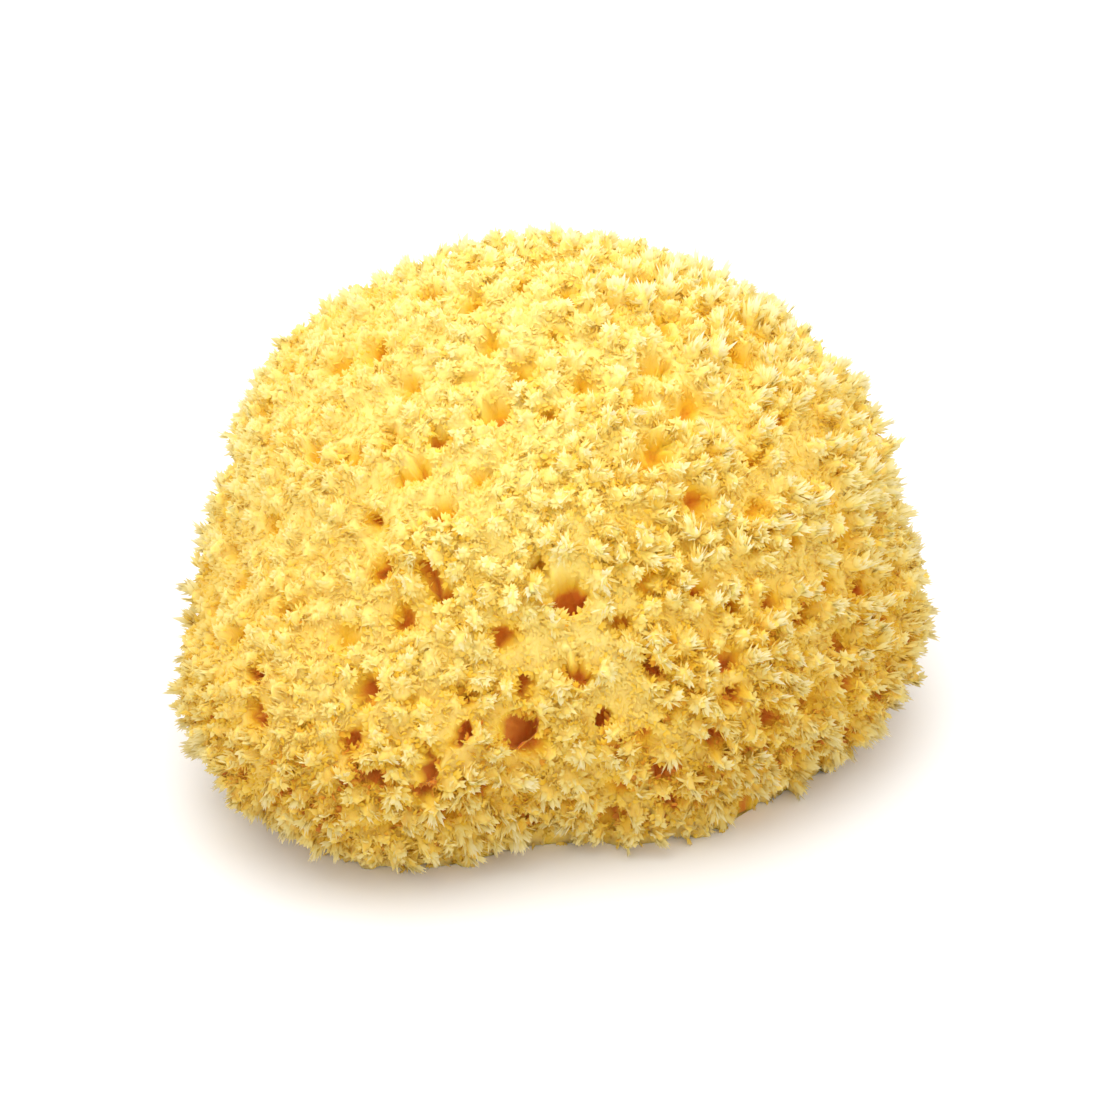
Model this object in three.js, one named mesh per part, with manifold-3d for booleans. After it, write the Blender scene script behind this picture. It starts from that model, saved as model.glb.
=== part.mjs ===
// Natural bath sponge: the dried, bleached skeleton of a sea wool sponge, grown and sold in one piece.
// Millimetres, +Z up. The origin is the middle of the flat face where it was cut from the rock.
// The solid reaches the tips of the tufts that cover the sponge, so it is the room the sponge takes.
import * as THREE from "three";
import { mergeVertices } from "three/addons/utils/BufferGeometryUtils.js";
import Module from "manifold-3d";

const wasm = await Module();
wasm.setup();

// Driving dimensions of the whole sponge.
const WIDTH = 152;
const DEPTH = 136;
const HEIGHT = 97;

// How finely the skin is faceted: an icosahedron whose edges are split this many times.
const SKIN_SPLITS = 15;

// The heart of the sponge, which its lobes and canals spread from.
const HEART = new THREE.Vector3(0, 0, 0.33 * HEIGHT);

// Swollen lobes that run into each other. Centres and radii are shares of WIDTH, DEPTH and HEIGHT,
// and each centre is measured from the middle of the cut face.
const LOBES = {
  mound: { centre: [0.0, 0.03, 0.3], radii: [0.42, 0.4, 0.62] },
  crown: { centre: [-0.02, 0.12, 0.5], radii: [0.34, 0.32, 0.5] },
  leftShoulder: { centre: [-0.2, 0.06, 0.43], radii: [0.25, 0.34, 0.43] },
  rightShoulder: { centre: [0.18, 0.1, 0.42], radii: [0.26, 0.32, 0.42] },
  leftFoot: { centre: [-0.28, -0.11, 0.29], radii: [0.21, 0.28, 0.27] },
  frontFoot: { centre: [-0.21, -0.21, 0.22], radii: [0.24, 0.26, 0.31] },
  frontFlank: { centre: [0.06, -0.07, 0.24], radii: [0.32, 0.31, 0.37] },
  rightFoot: { centre: [0.28, 0.02, 0.22], radii: [0.21, 0.27, 0.25] },
  rearFoot: { centre: [0.04, 0.24, 0.24], radii: [0.34, 0.26, 0.34] },
};
// How sharply the lobes meet: a higher power leaves deeper creases between them.
const LOBE_POWER = 14;

// Low swellings of the skin, as waves over the direction from the heart.
const SWELLS = [
  { along: [5.1, 2.3, -3.7], height: 0.011, phase: 0.4 },
  { along: [-3.2, 6.4, 4.1], height: 0.009, phase: 2.1 },
  { along: [8.3, -5.2, 7.9], height: 0.007, phase: 4.4 },
  { along: [-11.4, 9.7, 12.6], height: 0.006, phase: 1.3 },
];

// Oscules: the large openings that water left by. Each is a tapering canal towards the heart, placed by its
// bearing round +Z from the front (-Y) towards +X, and its rise above the horizon, in degrees.
const OSCULES = [
  { bearing: 1, rise: 32, radius: 4.1, depth: 20 },
  { bearing: -38, rise: 68, radius: 3.6, depth: 15 },
  { bearing: -65, rise: 44, radius: 2.7, depth: 12 },
  { bearing: -74, rise: 39, radius: 2.8, depth: 12 },
  { bearing: -49, rise: 50, radius: 3.1, depth: 14 },
  { bearing: -37, rise: 45, radius: 3.3, depth: 13 },
  { bearing: 70, rise: 73, radius: 3.4, depth: 13 },
  { bearing: 58, rise: 61, radius: 3.0, depth: 13 },
  { bearing: 173, rise: 84, radius: 2.6, depth: 14 },
  { bearing: 32, rise: 57, radius: 2.9, depth: 15 },
  { bearing: -8, rise: 3, radius: 3.9, depth: 18 },
  { bearing: -18, rise: 5, radius: 2.7, depth: 15 },
  { bearing: -30, rise: 29, radius: 3.1, depth: 13 },
  { bearing: 4, rise: 14, radius: 3.5, depth: 11 },
  { bearing: -36, rise: 12, radius: 2.4, depth: 13 },
  { bearing: -22, rise: -1, radius: 2.5, depth: 14 },
  { bearing: 8, rise: 4, radius: 2.3, depth: 13 },
  { bearing: 34, rise: 29, radius: 2.4, depth: 12 },
  { bearing: 50, rise: 20, radius: 2.5, depth: 12 },
  { bearing: 63, rise: 5, radius: 2.8, depth: 11 },
  { bearing: 35, rise: 13, radius: 2.7, depth: 12 },
  { bearing: -50, rise: 5, radius: 2.6, depth: 12 },
  { bearing: 97, rise: 33, radius: 3.2, depth: 15 },
  { bearing: 122, rise: 58, radius: 3.6, depth: 17 },
  { bearing: 128, rise: 14, radius: 2.8, depth: 12 },
  { bearing: 152, rise: 36, radius: 3.4, depth: 16 },
  { bearing: 178, rise: 20, radius: 2.9, depth: 14 },
  { bearing: -170, rise: 52, radius: 3.8, depth: 18 },
  { bearing: -146, rise: 29, radius: 3.1, depth: 15 },
  { bearing: -124, rise: 51, radius: 2.9, depth: 14 },
  { bearing: -104, rise: 17, radius: 3.3, depth: 15 },
];

// Canals that the cut laid open, by their place on the cut face as shares of WIDTH and DEPTH.
const CUT_CANALS = [
  { at: [-0.21, -0.14], radius: 4.2, depth: 16 },
  { at: [-0.08, 0.17], radius: 3.4, depth: 12 },
  { at: [0.12, -0.16], radius: 3.7, depth: 14 },
  { at: [0.24, 0.09], radius: 3.2, depth: 12 },
  { at: [0.08, 0.28], radius: 2.8, depth: 10 },
  { at: [-0.27, 0.08], radius: 2.7, depth: 10 },
];

// A canal's outline, as shares of its depth below the mouth and of its radius there.
const CANAL_OUTLINE = [
  [1.0, 0.0],
  [0.94, 0.42],
  [0.6, 0.72],
  [0.2, 0.9],
  [0.0, 1.1],
];
const CANAL_SIDES = 9;
const MOUTH_CLEARANCE = 6;

// A closed three.js geometry as a solid that can be joined and cut.
function solidOf(geometry) {
  const bare = new THREE.BufferGeometry().setAttribute("position", geometry.getAttribute("position"));
  if (geometry.index) bare.setIndex(geometry.index);
  const merged = mergeVertices(bare, 1e-4);
  return new wasm.Manifold(
    new wasm.Mesh({
      numProp: 3,
      vertProperties: merged.attributes.position.array,
      triVerts: new Uint32Array(merged.index.array),
    }),
  );
}

// A solid's vertices and triangles as a three.js geometry.
function geometryOf(solid) {
  const mesh = solid.getMesh();
  return new THREE.BufferGeometry()
    .setAttribute("position", new THREE.BufferAttribute(mesh.vertProperties, 3))
    .setIndex(new THREE.BufferAttribute(mesh.triVerts, 1));
}

// How far the ray from the heart along a direction runs inside one lobe: the far root of the ray and ellipsoid.
function reachOfLobe(lobe, direction) {
  const size = [WIDTH, DEPTH, HEIGHT];
  const heart = HEART.toArray();
  const ray = direction.toArray();
  let a = 0;
  let b = 0;
  let c = -1;
  for (let i = 0; i < 3; i++) {
    const radius = lobe.radii[i] * size[i];
    const from = (heart[i] - lobe.centre[i] * size[i]) / radius;
    const step = ray[i] / radius;
    a += step * step;
    b += from * step;
    c += from * from;
  }
  const inside = b * b - a * c;
  return inside > 0 ? Math.max(0, (Math.sqrt(inside) - b) / a) : 0;
}

// The skin's distance from the heart along a direction: the lobes run together, with low swellings on them.
function reachOfSkin(direction) {
  let sum = 0;
  for (const lobe of Object.values(LOBES)) sum += reachOfLobe(lobe, direction) ** LOBE_POWER;
  let swell = 1;
  for (const { along, height, phase } of SWELLS) {
    swell += height * Math.sin(new THREE.Vector3(...along).dot(direction) + phase);
  }
  return sum ** (1 / LOBE_POWER) * swell;
}

// The direction from the heart that a bearing and a rise give.
function directionAt(bearing, rise) {
  const turn = THREE.MathUtils.degToRad(bearing);
  const up = THREE.MathUtils.degToRad(rise);
  return new THREE.Vector3(Math.sin(turn) * Math.cos(up), -Math.cos(turn) * Math.cos(up), Math.sin(up));
}

// The whole skin as a closed surface, before the cut.
function skin() {
  const geometry = new THREE.IcosahedronGeometry(1, SKIN_SPLITS);
  const position = geometry.getAttribute("position");
  const direction = new THREE.Vector3();
  for (let i = 0; i < position.count; i++) {
    direction.fromBufferAttribute(position, i).normalize();
    const point = direction.clone().multiplyScalar(reachOfSkin(direction)).add(HEART);
    position.setXYZ(i, point.x, point.y, point.z);
  }
  return geometry;
}

// A tapering canal whose mouth is at a point and whose axis leaves the sponge along an outward direction.
function canal({ radius, depth }, mouth, outward) {
  const profile = CANAL_OUTLINE.map(([down, out]) => new THREE.Vector2(out * radius, -down * depth));
  const rim = CANAL_OUTLINE[CANAL_OUTLINE.length - 1][1] * radius;
  profile.push(new THREE.Vector2(rim, MOUTH_CLEARANCE), new THREE.Vector2(0, MOUTH_CLEARANCE));
  const geometry = new THREE.LatheGeometry(profile, CANAL_SIDES);
  geometry.applyQuaternion(new THREE.Quaternion().setFromUnitVectors(new THREE.Vector3(0, 1, 0), outward));
  geometry.translate(...mouth.toArray());
  return solidOf(geometry);
}

// Everything below the plane where the sponge was cut from the rock.
function belowTheCut() {
  const block = new THREE.BoxGeometry(2 * WIDTH, 2 * DEPTH, HEIGHT);
  block.translate(0, 0, -HEIGHT / 2);
  return solidOf(block);
}

// Moves and stretches a geometry so that it is WIDTH by DEPTH by HEIGHT, over the middle of the cut face.
function fitToSize(geometry) {
  geometry.computeBoundingBox();
  const { min, max } = geometry.boundingBox;
  geometry.translate(-(min.x + max.x) / 2, -(min.y + max.y) / 2, -min.z);
  geometry.scale(WIDTH / (max.x - min.x), DEPTH / (max.y - min.y), HEIGHT / (max.z - min.z));
  return geometry;
}

function spongeGeometry() {
  let body = solidOf(skin()).subtract(belowTheCut());
  for (const oscule of OSCULES) {
    const outward = directionAt(oscule.bearing, oscule.rise);
    const mouth = outward.clone().multiplyScalar(reachOfSkin(outward)).add(HEART);
    body = body.subtract(canal(oscule, mouth, outward));
  }
  for (const opened of CUT_CANALS) {
    const mouth = new THREE.Vector3(opened.at[0] * WIDTH, opened.at[1] * DEPTH, 0);
    body = body.subtract(canal(opened, mouth, new THREE.Vector3(0, 0, -1)));
  }
  return fitToSize(geometryOf(body));
}

const fibre = new THREE.MeshStandardMaterial({ color: 0xf2d479, roughness: 0.95, metalness: 0 });
fibre.name = "sponge_fibre";

const sponge = new THREE.Mesh(spongeGeometry(), fibre);
sponge.name = "sponge";

const group = new THREE.Group();
group.name = "sea_sponge";
group.add(sponge);

export default group;
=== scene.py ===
import math

import bmesh
import bpy
from bpy.props import FloatProperty, FloatVectorProperty, IntProperty, PointerProperty
from bpy.types import Operator, Panel, PropertyGroup
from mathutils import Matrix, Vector


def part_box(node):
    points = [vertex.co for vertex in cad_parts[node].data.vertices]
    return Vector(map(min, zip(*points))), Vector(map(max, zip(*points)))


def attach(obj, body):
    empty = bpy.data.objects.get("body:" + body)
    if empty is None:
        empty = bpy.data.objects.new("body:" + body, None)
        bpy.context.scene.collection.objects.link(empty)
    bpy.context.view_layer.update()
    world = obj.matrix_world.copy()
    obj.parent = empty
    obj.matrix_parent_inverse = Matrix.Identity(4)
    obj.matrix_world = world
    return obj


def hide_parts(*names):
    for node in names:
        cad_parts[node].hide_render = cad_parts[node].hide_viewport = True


bl_info = {
    "name": "Wool sponge",
    "version": (1, 0, 0),
    "blender": (4, 5, 0),
    "location": "3D View > Sidebar > Sponge",
    "description": "Grows a natural bath sponge over its plain solid: skin, canals, pits and frayed fibres",
    "category": "Add Mesh",
}

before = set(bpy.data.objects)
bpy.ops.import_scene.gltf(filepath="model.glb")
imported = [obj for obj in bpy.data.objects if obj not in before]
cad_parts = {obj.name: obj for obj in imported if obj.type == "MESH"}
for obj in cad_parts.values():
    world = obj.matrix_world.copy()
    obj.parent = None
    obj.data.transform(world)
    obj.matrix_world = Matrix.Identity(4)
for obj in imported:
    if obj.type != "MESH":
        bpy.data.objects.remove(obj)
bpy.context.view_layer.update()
NODE = "sponge"
BODY = "root"
MM = 0.001

# The felt is made in this many equal sectors round the sponge, and each is a piece of its own.
SECTORS = 6

# Wrapping the form: how far out it starts, the rounds that fill the canals, and how strong each blur is.
WRAP_FROM = 300 * MM
FILLING_ROUNDS = 26
FILLING_BLUR = 8
ROUNDING_BLUR = 30
FACING_BLUR = 24

# Shelter, which sets the painted shade, is measured with this many rays, and each looks this far: on the
# skin, then in the felt.
SKIN_RAYS = 48
SKIN_OUTLOOK = 14 * MM
FELT_RAYS = 16
FELT_OUTLOOK = 9 * MM
RAY_CLEARANCE = 0.3 * MM
GOLDEN_ANGLE = math.pi * (3 - math.sqrt(5))

# Places tried to a square metre of skin: for pits, for the cores under tufts, and for tufts.
PIT_TRIES = 200000.0
CORE_TRIES = 600000.0
TUFT_TRIES = 900000.0

# The way that the middle of the even plateau of low tufts faces.
PLATEAU = (-0.53, -0.32, 0.79)

# What the full darkening low down and at the sides takes from red, green and blue: painted shade, and low
# down partly the less bleached foot.
LOW_SHADE_TINT = (0.9, 1.05, 1.0)

# How far the seed of each random choice lies past the sponge's own seed.
SEED_OF = {
    "cores": 0, "pits": 5, "tufts": 10, "lean": 11, "tallness": 12,
    "roots": 20, "stray": 21, "length": 22, "width": 23, "shape": 24,
}

# Outlines of frayed fibres with three points, two and one, from one side of the root round to the other.
# Each place is across and along, as shares of the fibre's width and length.
FRONDS = (
    (
        (-0.36, 0.0), (-0.5, 0.5), (-0.46, 0.9), (-0.2, 0.6), (0.04, 1.0), (0.2, 0.55), (0.5, 0.8),
        (0.48, 0.4), (0.36, 0.0),
    ),
    ((-0.34, 0.0), (-0.48, 0.5), (-0.3, 1.0), (0.04, 0.55), (0.44, 0.86), (0.34, 0.0)),
    ((-0.3, 0.0), (-0.36, 0.45), (0.08, 1.0), (0.34, 0.4), (0.3, 0.0)),
)
# Where a fibre is thickest, along its length.
FROND_WAIST = 0.4

# The map that a fibre's finish is baked through, and the share of its patch that a fibre fills.
BAKE_MAP = "OFBake"
PATCH_FILL = 0.8

# The light, from above and a little to the left.
SKY_STRENGTH = 1.18
KEY_PLACE = (-0.1, 0.0, 0.87)
KEY_SIZE = 0.9
KEY_POWER = 4.5
FLOOR_REACH = 3.0


# ---------------------------------------------------------------- node writing


class Wire:
    """A node's output. A sum written with it adds the Math or Vector Math nodes that it needs."""

    def __init__(self, net, socket):
        self.net = net
        self.socket = socket

    def also(self, output):
        """Another output of the same node."""
        return Wire(self.net, pick(self.socket.node.outputs, output))

    def __add__(self, other):
        return self.net.sum("ADD", self, other)

    def __radd__(self, other):
        return self.net.sum("ADD", other, self)

    def __sub__(self, other):
        return self.net.sum("SUBTRACT", self, other)

    def __rsub__(self, other):
        return self.net.sum("SUBTRACT", other, self)

    def __mul__(self, other):
        return self.net.product(self, other)

    def __rmul__(self, other):
        return self.net.product(self, other)

    def __truediv__(self, other):
        return self.net.sum("DIVIDE", self, other)

    def __rtruediv__(self, other):
        return self.net.sum("DIVIDE", other, self)

    def __lt__(self, other):
        return self.net.sum("LESS_THAN", self, other)

    def __gt__(self, other):
        return self.net.sum("GREATER_THAN", self, other)


def pick(sockets, key):
    """The live socket with that name, or at that place among the live ones."""
    live = [s for s in sockets if s.enabled]
    return live[key] if isinstance(key, int) else next(s for s in live if s.name == key)


def is_vector(value):
    """Whether a value or a wire holds a vector or a colour."""
    if isinstance(value, Wire):
        return value.socket.type in {"VECTOR", "RGBA"}
    return isinstance(value, (tuple, Vector))


def kind_of(value):
    """The name that Geometry Nodes give to the kind of number that a value is."""
    return "FLOAT_VECTOR" if is_vector(value) else "FLOAT"


class Net:
    """Writes one node tree."""

    def __init__(self, tree):
        self.tree = tree

    def node(self, kind, settings=(), inputs=(), output=0):
        """Any node: its settings first, then the values or wires of its sockets."""
        made = self.tree.nodes.new(kind)
        for name, value in dict(settings).items():
            if name == "stops":
                self.stops(made.color_ramp, value)
            else:
                setattr(made, name, value)
        for name, value in dict(inputs).items():
            self.feed(pick(made.inputs, name), value)
        return Wire(self, pick(made.outputs, output))

    def stops(self, ramp, stops):
        """Gives a colour ramp its stops, each a position and a colour."""
        while len(ramp.elements) < len(stops):
            ramp.elements.new(1)
        for element, (position, colour) in zip(ramp.elements, stops):
            element.position = position
            element.color = (*colour, 1)

    def feed(self, socket, value):
        """Links a wire to a socket, or sets the socket's own value."""
        if isinstance(value, Wire):
            self.tree.links.new(value.socket, socket)
        else:
            socket.default_value = value

    def sum(self, operation, a, b):
        kind = "ShaderNodeVectorMath" if is_vector(a) or is_vector(b) else "ShaderNodeMath"
        return self.node(kind, {"operation": operation}, {0: a, 1: b})

    def product(self, a, b):
        if is_vector(a) and is_vector(b):
            return self.sum("MULTIPLY", a, b)
        if is_vector(b):
            a, b = b, a
        if is_vector(a):
            return self.node("ShaderNodeVectorMath", {"operation": "SCALE"}, {"Vector": a, "Scale": b})
        return self.sum("MULTIPLY", a, b)

    def maths(self, operation, *values):
        return self.node("ShaderNodeMath", {"operation": operation}, dict(enumerate(values)))

    def vector_maths(self, operation, *values, output=0):
        inputs = dict(enumerate(values))
        return self.node("ShaderNodeVectorMath", {"operation": operation}, inputs, output)

    def vector(self, x, y, z):
        return self.node("ShaderNodeCombineXYZ", (), {"X": x, "Y": y, "Z": z})

    def part(self, vector, axis):
        return self.node("ShaderNodeSeparateXYZ", (), {"Vector": vector}, axis)

    def unit(self, vector):
        return self.vector_maths("NORMALIZE", vector)

    def dot(self, a, b):
        return self.vector_maths("DOT_PRODUCT", a, b, output="Value")

    def length(self, vector):
        return self.vector_maths("LENGTH", vector, output="Value")

    def distance(self, a, b):
        return self.vector_maths("DISTANCE", a, b, output="Value")

    def mixed(self, share, a, b):
        """One vector, turning into another as the share goes from nought to one."""
        return self.node("ShaderNodeMix", {"data_type": "VECTOR"}, {"Factor": share, "A": a, "B": b})

    def fade(self, value, low, high, to_low=0.0, to_high=1.0):
        """Eases from one number to another as the value goes from low to high."""
        inputs = {"Value": value, "From Min": low, "From Max": high, "To Min": to_low, "To Max": to_high}
        return self.node("ShaderNodeMapRange", {"interpolation_type": "SMOOTHSTEP"}, inputs)

    def noise(self, place, size, detail=2.0, roughness=0.5, output="Fac"):
        """Soft noise whose swellings are about that size."""
        inputs = {"Vector": place, "Scale": 1 / size, "Detail": detail, "Roughness": roughness}
        return self.node("ShaderNodeTexNoise", (), inputs, output)

    def grit(self, place, size, detail, roughness=0.5):
        """Noise about nought."""
        return self.noise(place, size, detail, roughness) - 0.5

    def drift(self, place, size):
        """Noise about nought in each direction, to bend or shift a place with."""
        return self.noise(place, size, output="Color") - (0.5, 0.5, 0.5)


class Growth(Net):
    """Writes a Geometry Nodes tree that is a modifier on one object."""

    def __init__(self, name, sizes):
        super().__init__(bpy.data.node_groups.new(name, "GeometryNodeTree"))
        self.tree.is_modifier = True
        face = self.tree.interface
        face.new_socket("Geometry", in_out="INPUT", socket_type="NodeSocketGeometry")
        for label, kind in sizes.items():
            face.new_socket(label, in_out="INPUT", socket_type="NodeSocket" + kind)
        face.new_socket("Geometry", in_out="OUTPUT", socket_type="NodeSocketGeometry")
        self.given = self.tree.nodes.new("NodeGroupInput")
        self.result = self.tree.nodes.new("NodeGroupOutput")

    def __getitem__(self, label):
        return Wire(self, self.given.outputs[label])

    def end(self, geometry):
        """Ends the tree with plain geometry in the given material."""
        solid = self.node("GeometryNodeRealizeInstances", (), {"Geometry": geometry})
        clad = self.node("GeometryNodeSetMaterial", (), {"Geometry": solid, "Material": self["Material"]})
        self.feed(self.result.inputs[0], clad)
        return self.tree

    def position(self):
        return self.node("GeometryNodeInputPosition")

    def normal(self, output="Normal"):
        return self.node("GeometryNodeInputNormal", (), (), output)

    def blur(self, value, rounds, weight=1.0):
        inputs = {"Value": value, "Iterations": rounds, "Weight": weight}
        return self.node("GeometryNodeBlurAttribute", {"data_type": kind_of(value)}, inputs)

    def store(self, geometry, name, value, domain="POINT", kind=None):
        settings = {"data_type": kind or kind_of(value), "domain": domain}
        inputs = {"Geometry": geometry, "Name": name, "Value": value}
        return self.node("GeometryNodeStoreNamedAttribute", settings, inputs)

    def stored(self, name, kind="FLOAT"):
        return self.node("GeometryNodeInputNamedAttribute", {"data_type": kind}, {"Name": name})

    def outward(self):
        """The way that the form faces, with its small swellings smoothed away."""
        return self.stored("outward", "FLOAT_VECTOR")

    def move(self, geometry, offset):
        return self.node("GeometryNodeSetPosition", (), {"Geometry": geometry, "Offset": offset})

    def random(self, low, high, seed):
        inputs = {"Min": low, "Max": high, "Seed": seed}
        return self.node("FunctionNodeRandomValue", {"data_type": kind_of(low)}, inputs)

    def brought_together(self, kind, parts):
        """A node whose one socket takes several geometries, in that order."""
        made = self.node(kind)
        for part in reversed(parts):
            self.feed(made.socket.node.inputs[0], part)
        return made

    def scattered(self, mesh, spacing, tries, share, seed):
        """Points on a mesh, none nearer to another than the spacing, and fewer where the share is low."""
        inputs = {
            "Mesh": mesh, "Distance Min": spacing, "Density Max": tries, "Density Factor": share,
            "Seed": seed,
        }
        return self.node("GeometryNodeDistributePointsOnFaces", {"distribute_method": "POISSON"}, inputs)

    def distance_to(self, points, place):
        """How far a place is from the nearest of the points."""
        inputs = {"Geometry": points, "Sample Position": place}
        return self.node("GeometryNodeProximity", {"target_element": "POINTS"}, inputs, "Distance")

    def loop(self, rounds, kind, name):
        """The two ends of a loop that hands one thing on from round to round."""
        start = self.tree.nodes.new("GeometryNodeRepeatInput")
        stop = self.tree.nodes.new("GeometryNodeRepeatOutput")
        start.pair_with_output(stop)
        stop.repeat_items.clear()
        stop.repeat_items.new(kind, name)
        self.feed(start.inputs["Iterations"], rounds)
        return start, stop

    def openness(self, geometry, rays, outlook):
        """The share of the directions out of each point that meet nothing near.

        The directions are spread evenly over the half-sphere that the point faces.
        """
        start, stop = self.loop(rays, "FLOAT", "Blocked")
        turn = Wire(self, start.outputs["Iteration"])
        rise = 1 - (turn * 2 + 1) / rays
        across = self.maths("SQRT", 1 - rise * rise)
        bearing = turn * GOLDEN_ANGLE
        aim = self.vector(self.maths("COSINE", bearing) * across, self.maths("SINE", bearing) * across, rise)
        normal = self.normal()
        aim = aim * self.maths("SIGN", self.dot(aim, normal))
        place = self.position() + normal * RAY_CLEARANCE
        ray = {
            "Target Geometry": geometry, "Source Position": place, "Ray Direction": aim,
            "Ray Length": outlook,
        }
        blocked = self.node("GeometryNodeRaycast", (), ray, "Is Hit")
        self.feed(stop.inputs["Blocked"], Wire(self, start.outputs["Blocked"]) + blocked)
        return 1 - Wire(self, stop.outputs["Blocked"]) / rays


def grow(host, tree, values):
    """Puts a tree on an object as its modifier, with its inputs set by their sockets' identifiers."""
    modifier = host.modifiers.new(tree.name, "NODES")
    modifier.node_group = tree
    for item in tree.interface.items_tree:
        if item.in_out == "INPUT" and item.name in values:
            modifier[item.identifier] = values[item.name]


def link(name, data):
    """A new object in the scene."""
    made = bpy.data.objects.new(name, data)
    bpy.context.scene.collection.objects.link(made)
    return made


def harvest(host, name):
    """The evaluated object as a plain mesh in a new object. The host and its modifiers are removed."""
    seen = host.evaluated_get(bpy.context.evaluated_depsgraph_get())
    mesh = bpy.data.meshes.new_from_object(seen)
    if not mesh.polygons:
        raise RuntimeError(f"{name} came out empty")
    mesh.name = name
    bpy.data.objects.remove(host)
    return link(name, mesh)


# ---------------------------------------------------------------- sizes and colours


class SkinSizes(PropertyGroup):
    """Sizes of the sponge's skin."""

    fineness: IntProperty(
        name="Fineness", description="How often the ball that wraps the solid is divided", default=8
    )
    kept: FloatProperty(
        name="Faces kept", description="Share of the skin's faces that are kept", default=0.42
    )
    depth: FloatProperty(
        name="Skin depth", description="How far the skin lies below the tips of the tufts",
        default=5.4 * MM, unit="LENGTH",
    )
    pit_depth: FloatProperty(
        name="Pit depth", description="How deep the deepest pits between the tufts go",
        default=4.4 * MM, unit="LENGTH",
    )
    pit_spacing: FloatProperty(
        name="Pit spacing", description="Least distance between two pits",
        default=9.5 * MM, unit="LENGTH",
    )
    valley: FloatProperty(
        name="Valley", description="How far the skin falls between two tufts",
        default=0.5 * MM, unit="LENGTH",
    )
    peak: FloatProperty(
        name="Peak", description="How far the skin rises under a tuft", default=3.8 * MM, unit="LENGTH"
    )
    lean: FloatProperty(
        name="Lean", description="How far a peak may lean aside", default=3.0 * MM, unit="LENGTH"
    )
    pore: FloatProperty(
        name="Pore spacing", description="Spacing of the pores that the cut laid open",
        default=4.2 * MM, unit="LENGTH",
    )
    pore_depth: FloatProperty(
        name="Pore depth", description="Depth of the pores on the cut face",
        default=2.6 * MM, unit="LENGTH",
    )
    seed: IntProperty(name="Seed", description="Start of everything random on the sponge", default=7)


class TuftSizes(PropertyGroup):
    """Sizes of the tufts and of the fibres that gather into them."""

    spacing: FloatProperty(
        name="Tuft spacing", description="Least distance between two tufts",
        default=3.9 * MM, unit="LENGTH",
    )
    tall: FloatProperty(
        name="Tuft height", description="How long the fibres of the tallest tuft are",
        default=2.9 * MM, unit="LENGTH",
    )
    reach: FloatProperty(
        name="Tuft reach", description="How far round its foot a tuft gathers fibres",
        default=2.5 * MM, unit="LENGTH",
    )
    short: FloatProperty(
        name="Fuzz height", description="Length of the fibres between the tufts",
        default=1.5 * MM, unit="LENGTH",
    )
    width: FloatProperty(
        name="Fibre width", description="How wide a flat fibre is", default=1.4 * MM, unit="LENGTH"
    )
    amount: FloatProperty(
        name="Fibre amount", description="Fibres to a square metre of skin", default=1.05e6
    )


class SpongeColours(PropertyGroup):
    """Colours of the bleached fibre along its tone, from the painted shade at the bottom of a canal to the
    tip of a tuft.
    """

    # Painted shade: the colour of the deepest, darkest places, in the canals.
    deep: FloatVectorProperty(
        name="Canal", description="Deepest colour, inside a canal",
        subtype="COLOR", default=(0.80, 0.27, 0.03),
    )
    # Painted shade: the golden colour of sheltered places and the bottoms of pits.
    pit: FloatVectorProperty(
        name="Pit", description="Colour at the bottom of a pit",
        subtype="COLOR", default=(0.98, 0.62, 0.04),
    )
    side: FloatVectorProperty(
        name="Side", description="Colour of the sides of the tufts",
        subtype="COLOR", default=(0.95, 0.77, 0.25),
    )
    tip: FloatVectorProperty(
        name="Tip", description="Colour of the bleached tips",
        subtype="COLOR", default=(0.95, 0.87, 0.61),
    )


class StageSizes(PropertyGroup):
    """The camera and the floor."""

    focal: FloatProperty(
        name="Focal length", description="Lens of the camera, in millimetres", default=100.0
    )
    elevation: FloatProperty(
        name="Elevation", description="How far the camera looks down",
        default=math.radians(33), subtype="ANGLE",
    )
    distance: FloatProperty(
        name="Distance", description="From the camera to what it looks at",
        default=598.4 * MM, unit="LENGTH",
    )
    target: FloatVectorProperty(
        name="Target", description="Point that the camera looks at",
        default=(-1.62 * MM, 0.66 * MM, 36.0 * MM), unit="LENGTH",
    )
    floor: FloatVectorProperty(
        name="Floor", description="Colour of the floor", subtype="COLOR", default=(0.9, 0.9, 0.9)
    )


# ---------------------------------------------------------------- the fibre's finish


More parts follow.
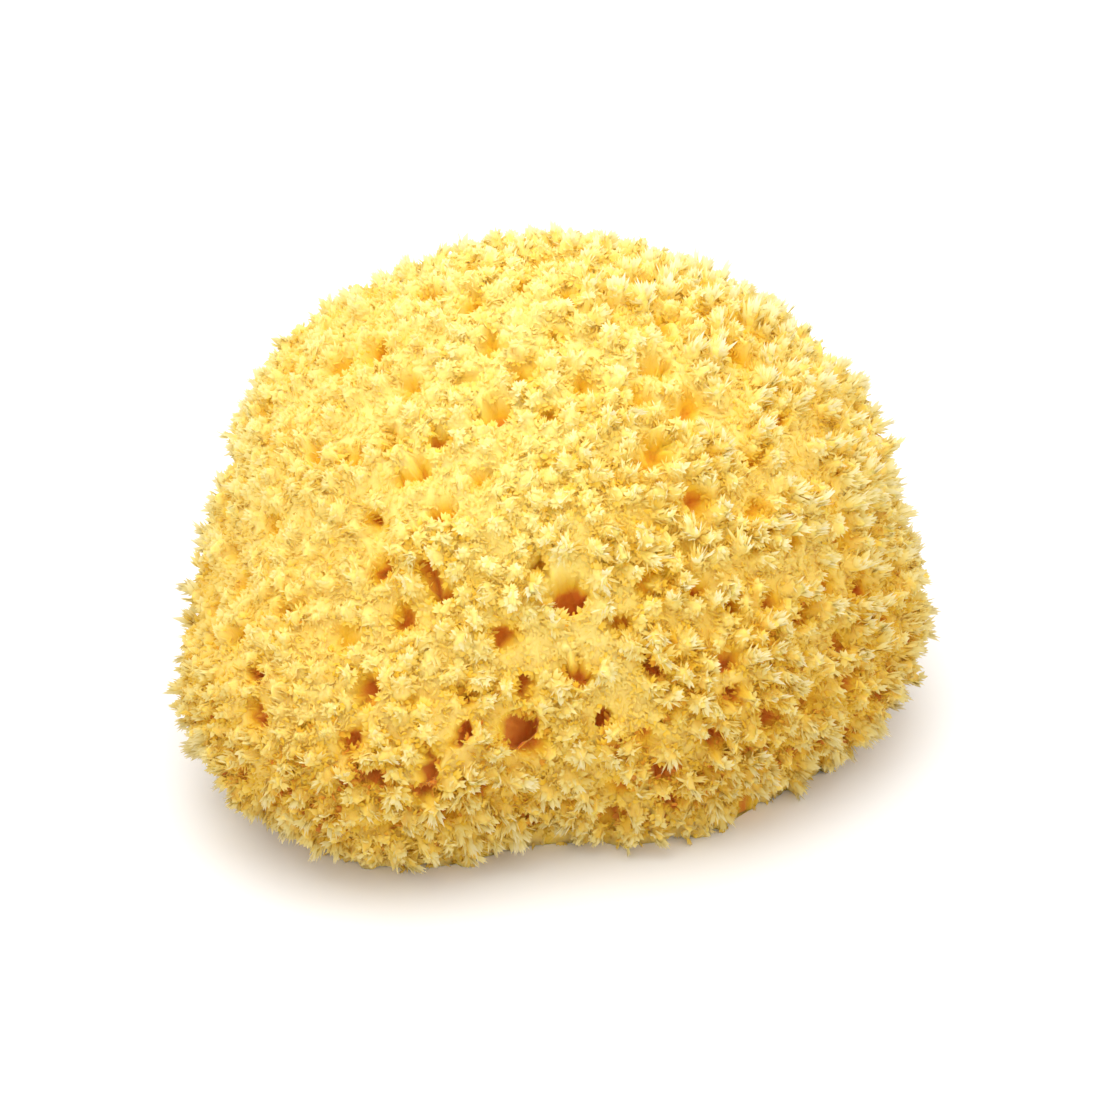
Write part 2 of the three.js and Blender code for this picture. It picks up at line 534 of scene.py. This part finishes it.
def fibre_material(name, colours, felted):
    """Bleached sponge fibre, with painted shade: darker and more orange the deeper and more sheltered it
    lies, and darker low down and at the sides; pale at the tips.
    """
    material = bpy.data.materials.new(name)
    material.use_nodes = True
    net = Net(material.node_tree)
    net.tree.nodes.clear()
    place = net.node("ShaderNodeTexCoord", output="Object")
    tone = net.node("ShaderNodeAttribute", {"attribute_name": "tone"}, output="Fac")
    patchy = net.grit(place, 14 * MM, 3) * 0.2
    mottled = net.grit(place, 1.6 * MM, 4, 0.65) * 0.12
    # Painted shade: darker low down and at both sides, where less of the light falls; low down it is partly
    # also the less bleached foot of the sponge.
    low = net.fade(net.part(place, "Z"), 10 * MM, 62 * MM, 1.0, 0.0)
    aside = net.fade(net.maths("ABSOLUTE", net.part(place, "X")), 0.0, 60 * MM)
    painted_shade = low * 0.18 + aside * 0.06
    shade = tone + patchy + mottled - painted_shade * 0.8
    stops = [(0.0, colours.deep), (0.12, colours.pit), (0.5, colours.side), (1.0, colours.tip)]
    colour = net.node("ShaderNodeValToRGB", {"stops": stops}, {"Fac": shade}, "Color")
    # That painted shade also tints the colour, taking more from green and blue than from red.
    colour = colour * ((1.0, 1.0, 1.0) - LOW_SHADE_TINT * painted_shade)
    shader = net.node(
        "ShaderNodeBsdfPrincipled",
        {"subsurface_method": "RANDOM_WALK"},
        {
            "Base Color": colour,
            "Roughness": 0.92,
            "IOR": 1.4,
            "Subsurface Radius": (1.0, 0.85, 0.5),
            "Subsurface Scale": 1.2 * MM,
            "Specular IOR Level": 0.25,
            "Sheen Weight": 0.12,
            "Sheen Roughness": 0.5,
            **(felted_finish(net, place) if felted else {}),
        },
    )
    output = net.tree.nodes.new("ShaderNodeOutputMaterial")
    net.feed(output.inputs["Surface"], shader)
    return material


def felted_finish(net, place):
    """Light passes into the skin, and strands of felt stand out of it as fine bumps."""
    strands = net.noise(place * (1.0, 1.0, 0.35), 0.35 * MM, 5, 0.7)
    bumps = net.node("ShaderNodeBump", (), {"Strength": 0.5, "Distance": 0.25 * MM, "Height": strands})
    return {"Subsurface Weight": 0.8, "Normal": bumps}


# ---------------------------------------------------------------- the form

# The trees note these on the mesh for one another. From the form: "canal", how far a canal sinks below the
# closed form, "outward", and "cut", one on the cut face. From the skin: "height", from a tuft's core down
# to a canal, and "sunk", how deep a canal is. For the finish: "tone", painted shade from shelter, pits
# and canals, up to the bleached tips.


def form_tree():
    """Wraps a fine ball onto the solid, then fills the canals: a smooth form that knows where each was."""
    net = Growth("Closed form", {"Heart": "Vector", "Fineness": "Int", "Material": "Material"})
    heart = net["Heart"]
    ball = net.node("GeometryNodeMeshIcoSphere", (), {"Radius": 1.0, "Subdivisions": net["Fineness"]})
    place = net.position()
    aim = net.unit(place)
    ray = {
        "Target Geometry": net["Geometry"], "Source Position": heart + aim * WRAP_FROM,
        "Ray Direction": aim * -1.0, "Ray Length": WRAP_FROM,
    }
    hit = net.node("GeometryNodeRaycast", (), ray, "Hit Position")
    solid = net.node("GeometryNodeSetPosition", (), {"Geometry": ball, "Position": hit})
    out = net.distance(place, heart)
    solid = net.store(solid, "canal", out)

    start, stop = net.loop(FILLING_ROUNDS, "GEOMETRY", "Geometry")
    net.feed(start.inputs["Geometry"], solid)
    mean = net.blur(place, FILLING_BLUR)
    grounded = net.maths("MAXIMUM", net.part(mean, "Z"), 0.0)
    above = net.vector(net.part(mean, "X"), net.part(mean, "Y"), grounded)
    filled = net.node(
        "GeometryNodeSetPosition",
        (),
        {
            "Geometry": Wire(net, start.outputs["Geometry"]),
            "Selection": net.distance(mean, heart) > out,
            "Position": above,
        },
    )
    net.feed(stop.inputs["Geometry"], filled)
    closed = Wire(net, stop.outputs["Geometry"])

    height = net.part(place, "Z")
    eased = net.blur(place, ROUNDING_BLUR, net.fade(height, 0.3 * MM, 4 * MM))
    rounded = net.node("GeometryNodeSetPosition", (), {"Geometry": closed, "Position": eased})
    rounded = net.store(rounded, "canal", out - net.stored("canal"))
    rounded = net.store(rounded, "outward", net.unit(net.blur(net.normal(), FACING_BLUR)))
    return net.end(net.store(rounded, "cut", height < 0.2 * MM))


def heart_of_box():
    """The place that the canals lead towards: over the middle of the cut, a third of the way up."""
    low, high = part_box(NODE)
    return Vector(((low.x + high.x) / 2, (low.y + high.y) / 2, low.z + (high.z - low.z) / 3))


def make_form(fineness):
    """The solid without its canals, as one even mesh that the skin is made of."""
    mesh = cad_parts[NODE].data.copy()
    shape = bmesh.new()
    shape.from_mesh(mesh)
    bmesh.ops.remove_doubles(shape, verts=shape.verts, dist=0.001 * MM)
    shape.to_mesh(mesh)
    shape.free()
    mesh.materials.clear()
    host = link("host", mesh)
    grow(host, form_tree(), {"Heart": heart_of_box(), "Fineness": fineness})
    return harvest(host, "form")


def pit_points(net, form):
    """The middles of the pits: far apart, none on the cut."""
    loose = net.fade(net.noise(net.position(), 14 * MM), 0.36, 0.56, 0.25, 1.0)
    share = loose * (1 - net.stored("cut"))
    return net.scattered(form, net["Pit spacing"], PIT_TRIES, share, net["Seed"] + SEED_OF["pits"])


def core_points(net, form, pits):
    """The places of the cores under the tufts: well apart, none in a pit or a canal."""
    place = net.position()
    clear = net.fade(net.distance_to(pits, place), 1.0 * MM, 2.2 * MM)
    loose = net.fade(net.noise(place, 11 * MM), 0.38, 0.6, 0.5, 1.0)
    bare = net.fade(net.stored("canal"), 1.0 * MM, 2.5 * MM, 1.0, 0.0) * (1 - net.stored("cut"))
    share = loose * bare * clear
    return net.scattered(form, net["Tuft spacing"], CORE_TRIES, share, net["Seed"] + SEED_OF["cores"])


# ---------------------------------------------------------------- the skin


# Inputs of a tree that keeps its piece inside the sponge's box.
BOX = {"Low": "Vector", "High": "Vector"}


def corners():
    """The values of those inputs."""
    low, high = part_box(NODE)
    return {"Low": low, "High": high}


def kept_in(net, geometry):
    """Presses whatever would reach out of the sponge's box flat against its side or the ground."""
    inside = net.vector_maths("MINIMUM", net.vector_maths("MAXIMUM", net.position(), net["Low"]), net["High"])
    return net.node("GeometryNodeSetPosition", (), {"Geometry": geometry, "Position": inside})


def evenness(net):
    """One on the even plateau of low tufts on the top and left, falling to nought beyond it."""
    return net.fade(net.dot(net.outward(), PLATEAU), 0.55, 0.95)


def skin_tree():
    """Sinks the form to the skin: a core under each tuft, valleys and pits between, and pores on the cut."""
    labels = (
        "Skin depth", "Valley", "Pit depth", "Pit spacing", "Peak", "Tuft spacing", "Lean",
        "Pore spacing", "Pore depth",
    )
    sizes = {**dict.fromkeys(labels, "Float"), **BOX, "Heart": "Vector", "Seed": "Int"}
    net = Growth("Sponge skin", {**sizes, "Material": "Material"})
    form = net["Geometry"]
    place = net.position()
    cut = net.stored("cut")
    pits = pit_points(net, form)
    cores = core_points(net, form, pits)

    bent = place + net.drift(place, 2.8 * MM) * (4.0 * MM)
    from_core = net.distance_to(cores, bent)
    peak = net.fade(from_core, 0.3 * MM, 2.5 * MM, 1.0, 0.0)
    valley = net.fade(from_core, 1.0 * MM, 3.2 * MM)
    tall = net.fade(net.noise(place, 4 * MM, 1), 0.3, 0.65, 0.55, 1.0) * (1 - evenness(net) * 0.5)
    pit_width = net.fade(net.noise(place, 10 * MM, 1), 0.35, 0.65, 2.4 * MM, 4.8 * MM)
    pit = net.fade(net.distance_to(pits, bent) / pit_width, 0.2, 1.1, 1.0, 0.0)
    uneven = net.fade(net.noise(place, 8 * MM), 0.35, 0.62, 0.35, 1.0)
    rough = net.grit(place, 1.2 * MM, 3, 0.6) * (0.9 * MM)
    sunk = net["Skin depth"] + net["Valley"] * valley + net["Pit depth"] * pit * uneven
    sunk = sunk - net["Peak"] * peak * tall + rough

    canal = net.blur(net.stored("canal"), 1)
    in_canal = net.fade(canal, 2 * MM, 4 * MM)
    lumpy = net.grit(place, 2.5 * MM, 3, 0.6) * (3.0 * MM)
    opened = canal * 0.45 + net.fade(canal, 1 * MM, 3 * MM) * (4.2 * MM) + lumpy
    deep = net.node("ShaderNodeMath", {"operation": "SMOOTH_MAX"}, {0: sunk, 1: opened, 2: 1.0 * MM})

    # The skin sinks straight in, but along the canal in a canal, and straight up on the cut.
    outward = net.outward()
    inward = net.unit(net["Heart"] - place)
    along_canal = net.unit(inward + net.vector(0.0, 0.0, cut * 3.0 - 0.7))
    near_canal = net.blur(net.fade(net.stored("canal"), 0.5 * MM, 2 * MM), 10)
    straight = net.mixed(cut, outward, outward * (1.3, 1.3, 0.0)) * -1.0
    way = net.mixed(near_canal, straight, along_canal)
    swayed = net.drift(place, 6 * MM) * net["Lean"] * (peak - pit * 0.5) * 2.0
    wavy = net.drift(place, 3.5 * MM) * in_canal * (3.5 * MM)
    moved = way * deep + (swayed * (1 - in_canal) + wavy) * (1 - cut)

    height = (peak * tall - pit * uneven * 2.5 - valley * 0.3) * (1 - cut) - in_canal - cut * 1.5
    noted = net.store(net.store(form, "height", height), "sunk", deep * in_canal)
    skin = net.move(noted, moved)
    warped = place + net.drift(place, 5 * MM) * (5 * MM)
    cells = {"Vector": warped, "Scale": 1 / net["Pore spacing"]}
    walls = net.node("ShaderNodeTexVoronoi", {"feature": "DISTANCE_TO_EDGE"}, cells)
    pore = net.fade(walls, 0.06, 0.36) * net.fade(net.noise(place, 6 * MM), 0.36, 0.6, 0.25, 1.0)
    skin = net.move(skin, net.vector(0.0, 0.0, net["Pore depth"] * pore * cut))
    return net.end(kept_in(net, skin))


def toned_tree():
    """Notes the skin's tone, which is painted shade: paler where a place is open, darker where it is
    sheltered, in pits and in deep canals.
    """
    net = Growth("Tone", {**BOX, "Material": "Material"})
    openness = net.blur(net.openness(net["Geometry"], SKIN_RAYS, SKIN_OUTLOOK), 1)
    # Painted light and shade: the more open a place is, the paler it is painted.
    lit = net.fade(openness, 0.1, 0.9, 0.1, 0.52)
    # Painted shade: darker down in the pits and canals.
    hollow_shade = net.maths("MAXIMUM", net.maths("MINIMUM", net.stored("height"), 0.0), -1.5)
    # Painted shade: darker still at the bottom of the deepest canals.
    painted_shade = net.fade(net.stored("sunk"), 9 * MM, 13 * MM, 0.0, 0.2)
    skin = net.store(net["Geometry"], "tone", lit + hollow_shade * 0.05 - painted_shade)
    return net.end(kept_in(net, net.node("GeometryNodeSetShadeSmooth", (), {"Geometry": skin})))


# ---------------------------------------------------------------- tufts


def frond(name, outline):
    """A flat fibre with a frayed end, thicker in the middle, as a closed mesh in a new object."""
    rim = [(0.0, across, along) for across, along in outline]
    count = len(rim)
    front, back = count, count + 1
    points = [*rim, (0.5, 0.0, FROND_WAIST), (-0.5, 0.0, FROND_WAIST)]
    faces = []
    for i in range(count):
        after = (i + 1) % count
        faces += [(front, after, i), (back, i, after)]
    mesh = bpy.data.meshes.new(name)
    mesh.from_pydata(points, [], faces)
    for note, axis in (("across", 1), ("lift", 2)):
        noted = mesh.attributes.new(note, "FLOAT", "POINT")
        noted.data.foreach_set("value", [point[axis] for point in points])
    return link(name, mesh)


def frond_label(i):
    """The name of the felt's input for one shape of fibre."""
    return f"Frond {i + 1}"


def in_sector(net, roots, place):
    """The roots whose bearing round the sponge lies in this piece's sector."""
    bearing = net.maths("ARCTAN2", net.part(place, "X"), 0.0 - net.part(place, "Y"))
    outside = 1.0 - (bearing > net["From bearing"]) * (1.0 - (bearing > net["To bearing"]))
    inputs = {"Geometry": roots, "Selection": outside}
    return net.node("GeometryNodeDeleteGeometry", {"domain": "POINT"}, inputs)


def felt_tree():
    """Covers the skin with flat fibres: a star or a brush round each tuft's foot, and low fuzz between."""
    labels = ("Spacing", "Tall", "Short", "Width", "Amount", "Reach", "From bearing", "To bearing")
    shapes = {frond_label(i): "Object" for i in range(len(FRONDS))}
    sizes = {**dict.fromkeys(labels, "Float"), **shapes, **BOX, "Seed": "Int"}
    net = Growth("Felt", {**sizes, "Material": "Material"})
    skin = net["Geometry"]
    place = net.position()
    height = net.stored("height")

    def seed(choice):
        return net["Seed"] + SEED_OF[choice]

    feet = net.scattered(skin, net["Spacing"], TUFT_TRIES, net.fade(height, 0.05, 0.4), seed("tufts"))
    inputs = {"Mesh": skin, "Density": net["Amount"] * net.fade(height, -1.3, -0.4), "Seed": seed("roots")}
    roots = net.node("GeometryNodeDistributePointsOnFaces", {"distribute_method": "RANDOM"}, inputs)
    normal = roots.also("Normal")
    roots = in_sector(net, roots, place)

    bent = place + net.drift(place, 2.2 * MM) * (3.0 * MM)
    nearest = {"Geometry": feet, "Sample Position": bent}
    nearest = net.node("GeometryNodeSampleNearest", {"domain": "POINT"}, nearest)

    def of_foot(value):
        settings = {"data_type": kind_of(value), "domain": "POINT"}
        inputs = {"Geometry": feet, "Value": value, "Index": nearest}
        return net.node("GeometryNodeSampleIndex", settings, inputs)

    # How each tuft stands, and where the fibre is in it.
    outward = net.outward()
    lean = net.random((-0.4, -0.4, -0.4), (0.4, 0.4, 0.4), seed("lean"))
    axis = of_foot(net.unit(outward + lean + (0.0, 0.0, 0.3)))
    tall = of_foot(net.random(0.6, 1.0, seed("tallness")) * (1 - evenness(net) * 0.45)) * net["Tall"]
    aside = place - of_foot(place)
    spread = aside / net["Reach"]
    away = net.length(aside) / net["Reach"]
    gathered = net.fade(away, 0.7, 1.25, 1.0, 0.0) * net.fade(height, -0.7, 0.0)
    brush = net.fade(net.maths("ABSOLUTE", net.part(outward, "X")), 0.1, 0.5)

    # Which way the fibre grows and how long it is: in a tuft's crown, or in the fuzz between.
    stray = net.random((-1.0, -1.0, -1.0), (1.0, 1.0, 1.0), seed("stray"))
    share = net.random(0.5, 1.1, seed("length"))
    crown = net.unit(axis + spread * (1.2 - brush * 0.7) + stray * 0.28)
    crown = crown * (tall * share * (1 + brush * 0.3))
    fuzz = net.unit(normal * 0.8 + stray * 0.6) * (net["Short"] * share)
    way = net.mixed(gathered, fuzz, crown)
    long = net.length(way)
    wide = net["Width"] * net.random(0.6, 1.2, seed("width"))
    upright = net.node("FunctionNodeAlignRotationToVector", {"axis": "Z"}, {"Vector": way})
    facing = normal + axis * (0.5 - brush * 0.4) + spread * brush + stray * 0.2
    turned = net.node(
        "FunctionNodeAlignRotationToVector",
        {"axis": "X", "pivot_axis": "Z"},
        {"Rotation": upright, "Vector": facing},
    )
    envelope = net.unit(normal + outward + spread * gathered)

    fronds = [
        net.node("GeometryNodeObjectInfo", (), {"Object": net[label]}, "Geometry") for label in shapes
    ]
    choice = {"Min": 0, "Max": len(FRONDS) - 1, "Seed": seed("shape")}
    fibres = net.node(
        "GeometryNodeInstanceOnPoints",
        (),
        {
            "Points": roots,
            "Instance": net.brought_together("GeometryNodeGeometryToInstance", fronds),
            "Pick Instance": True,
            "Instance Index": net.node("FunctionNodeRandomValue", {"data_type": "INT"}, choice),
            "Rotation": turned,
            "Scale": net.vector(wide * 0.2, wide, long),
        },
    )
    fibres = net.store(fibres, "envelope", envelope, "INSTANCE")
    fibres = net.store(fibres, "long", long / net["Tall"], "INSTANCE")
    fibres = net.store(fibres, "turn", net.node("GeometryNodeInputIndex"), "INSTANCE")
    size = {"component": "INSTANCES"}
    total = net.node("GeometryNodeAttributeDomainSize", size, {"Geometry": fibres}, "Instance Count")
    fibres = net.node("GeometryNodeRealizeInstances", (), {"Geometry": fibres})
    fibres = net.node("GeometryNodeSetShadeSmooth", (), {"Geometry": fibres})

    # The tone of a fibre is painted shade and bleaching: golden and darker where it is sheltered and low
    # between the tufts, paler high in a tuft and towards its tip, which is partly real bleaching.
    near = net.brought_together("GeometryNodeJoinGeometry", [fibres, skin])
    openness = net.blur(net.openness(near, FELT_RAYS, FELT_OUTLOOK), 2)
    # Painted light high in a tuft, and paler towards the tip, which is partly real bleaching.
    bleach_and_shade = net.fade(height, -0.5, 0.9, 0.02, 0.33) + net.stored("lift") * net.stored("long") * 0.35
    # Painted shade: golden and darker the more sheltered the fibre is.
    shelter_shade = net.fade(openness, 0.0, 0.6, 0.05, 0.3)
    # The paling is painted only where the fibre is open, so sheltered tips stay in painted shade.
    tone = shelter_shade + bleach_and_shade * net.fade(openness, 0.05, 0.5, 0.35, 1.05)
    fibres = kept_in(net, net.store(fibres, "tone", tone))
    return net.end(softened(net, mapped(net, fibres, total)))


def mapped(net, fibres, total):
    """Gives each fibre a patch of its own on the map that its finish is baked through, root down."""
    columns = net.maths("CEIL", net.maths("SQRT", total * 2.0))
    rows = net.maths("CEIL", total / columns)
    turn = net.stored("turn")
    row = net.maths("FLOOR", turn / columns)
    column = turn - row * columns
    across = (column + 0.5 + net.stored("across") * PATCH_FILL) / columns
    along = (row + (1 - PATCH_FILL) / 2 + net.stored("lift") * PATCH_FILL) / rows
    return net.store(fibres, BAKE_MAP, net.vector(across, along, 0.0), "CORNER", "FLOAT2")


def softened(net, fibres):
    """Turns the normals of each fibre towards the felt's, never past the face's own half-sphere."""
    facing = net.normal("True Normal")
    envelope = net.stored("envelope", "FLOAT_VECTOR")
    weight = net.fade(net.dot(facing, envelope), 0.0, 0.5, 0.9, 4.0)
    edges = {"Geometry": fibres, "Shade Smooth": False}
    creased = net.node("GeometryNodeSetShadeSmooth", {"domain": "EDGE"}, edges)
    normals = {"Mesh": creased, "Custom Normal": net.unit(facing + envelope * weight)}
    return net.node("GeometryNodeSetMeshNormal", {"mode": "FREE", "domain": "CORNER"}, normals)


# ---------------------------------------------------------------- operators


def stand_for_node(piece):
    """Shows a piece in place of the plain solid, on its body."""
    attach(piece, BODY)
    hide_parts(NODE)


class SPONGE_OT_skin(Operator):
    """Makes the sponge's body, with its canals, pits and cut face"""

    bl_idname = "sponge.skin"
    bl_label = "Sponge skin"

    def execute(self, context):
        scene = context.scene
        sizes = scene.sponge_skin
        fibre = fibre_material("felted_fibre", scene.sponge_colours, True)
        form = make_form(sizes.fineness)
        grow(form, skin_tree(), {
            "Skin depth": sizes.depth, "Valley": sizes.valley, "Pit depth": sizes.pit_depth,
            "Pit spacing": sizes.pit_spacing, "Peak": sizes.peak, "Lean": sizes.lean,
            "Tuft spacing": scene.sponge_tufts.spacing, "Pore spacing": sizes.pore,
            "Pore depth": sizes.pore_depth, "Heart": heart_of_box(), "Seed": sizes.seed,
            "Material": fibre, **corners(),
        })
        fewer = form.modifiers.new("Fewer faces", "DECIMATE")
        fewer.ratio = sizes.kept
        grow(form, toned_tree(), {"Material": fibre, **corners()})
        stand_for_node(harvest(form, "sponge_body"))
        return {"FINISHED"}


class SPONGE_OT_felt(Operator):
    """Covers the skin with frayed fibres that gather into tufts"""

    bl_idname = "sponge.felt"
    bl_label = "Felt and tufts"

    def execute(self, context):
        scene = context.scene
        tufts = scene.sponge_tufts
        fibre = fibre_material("frayed_fibre", scene.sponge_colours, False)
        tree = felt_tree()
        body = bpy.data.objects["sponge_body"]
        fronds = {frond_label(i): frond("frond", outline) for i, outline in enumerate(FRONDS)}
        for i in range(SECTORS):
            host = link("host", body.data.copy())
            grow(host, tree, {
                "Spacing": tufts.spacing, "Tall": tufts.tall, "Short": tufts.short,
                "Width": tufts.width, "Amount": tufts.amount, "Reach": tufts.reach,
                "From bearing": math.tau * (i / SECTORS - 0.5),
                "To bearing": math.tau * ((i + 1) / SECTORS - 0.5),
                "Seed": scene.sponge_skin.seed, "Material": fibre, **fronds, **corners(),
            })
            stand_for_node(harvest(host, f"felt_{i + 1}"))
        for shape in fronds.values():
            bpy.data.objects.remove(shape)
        return {"FINISHED"}


class SPONGE_OT_stage(Operator):
    """Sets the floor, the light and the camera"""

    bl_idname = "sponge.stage"
    bl_label = "Stage"

    def execute(self, context):
        stage = context.scene.sponge_stage
        make_floor(stage)
        make_light(context.scene)
        make_camera(context.scene, stage)
        return {"FINISHED"}


def make_floor(stage):
    mesh = bpy.data.meshes.new("floor")
    far = FLOOR_REACH
    mesh.from_pydata([(-far, -far, 0), (far, -far, 0), (far, far, 0), (-far, far, 0)], [], [(0, 1, 2, 3)])
    material = bpy.data.materials.new("pale_floor")
    material.use_nodes = True
    shader = material.node_tree.nodes["Principled BSDF"]
    shader.inputs["Base Color"].default_value = (*stage.floor, 1)
    shader.inputs["Roughness"].default_value = 0.9
    mesh.materials.append(material)
    link("floor", mesh)


def make_light(scene):
    """An even white sky, and a soft key light that points at the sponge's foot."""
    world = bpy.data.worlds.new("studio")
    world.use_nodes = True
    sky = world.node_tree.nodes["Background"]
    sky.inputs["Color"].default_value = (1, 1, 1, 1)
    sky.inputs["Strength"].default_value = SKY_STRENGTH
    scene.world = world
    scene.view_settings.view_transform = "Standard"
    lamp = bpy.data.lights.new("key", "AREA")
    lamp.size = KEY_SIZE
    lamp.energy = KEY_POWER
    light = link("key", lamp)
    light.location = KEY_PLACE
    light.rotation_euler = (-Vector(KEY_PLACE)).to_track_quat("-Z", "Y").to_euler()


def make_camera(scene, stage):
    lens = bpy.data.cameras.new("camera")
    lens.lens = stage.focal
    lens.clip_start = 0.01
    camera = link("camera", lens)
    back = Vector((0, -math.cos(stage.elevation), math.sin(stage.elevation)))
    camera.location = Vector(stage.target) + back * stage.distance
    camera.rotation_euler = back.to_track_quat("Z", "Y").to_euler()
    scene.camera = camera


# ---------------------------------------------------------------- panel and start


class SPONGE_PT_panel(Panel):
    """Lists the sponge's sizes and colours, and the steps that make it"""

    bl_idname = "SPONGE_PT_panel"
    bl_label = "Sponge"
    bl_space_type = "VIEW_3D"
    bl_region_type = "UI"
    bl_category = "Sponge"

    def draw(self, context):
        for label in GROUPS:
            group = getattr(context.scene, label)
            for name in group.__annotations__:
                self.layout.prop(group, name)
        for step in STEPS:
            self.layout.operator(step.bl_idname)


STEPS = (SPONGE_OT_skin, SPONGE_OT_felt, SPONGE_OT_stage)
GROUPS = {
    "sponge_skin": SkinSizes,
    "sponge_tufts": TuftSizes,
    "sponge_colours": SpongeColours,
    "sponge_stage": StageSizes,
}


def register():
    for made in (*GROUPS.values(), *STEPS, SPONGE_PT_panel):
        bpy.utils.register_class(made)
    for name, group in GROUPS.items():
        setattr(bpy.types.Scene, name, PointerProperty(type=group))


def unregister():
    for name in GROUPS:
        delattr(bpy.types.Scene, name)
    for made in reversed((*GROUPS.values(), *STEPS, SPONGE_PT_panel)):
        bpy.utils.unregister_class(made)


def main():
    register()
    for step in STEPS:
        space, name = step.bl_idname.split(".")
        getattr(getattr(bpy.ops, space), name)()


if __name__ == "__main__":
    main()
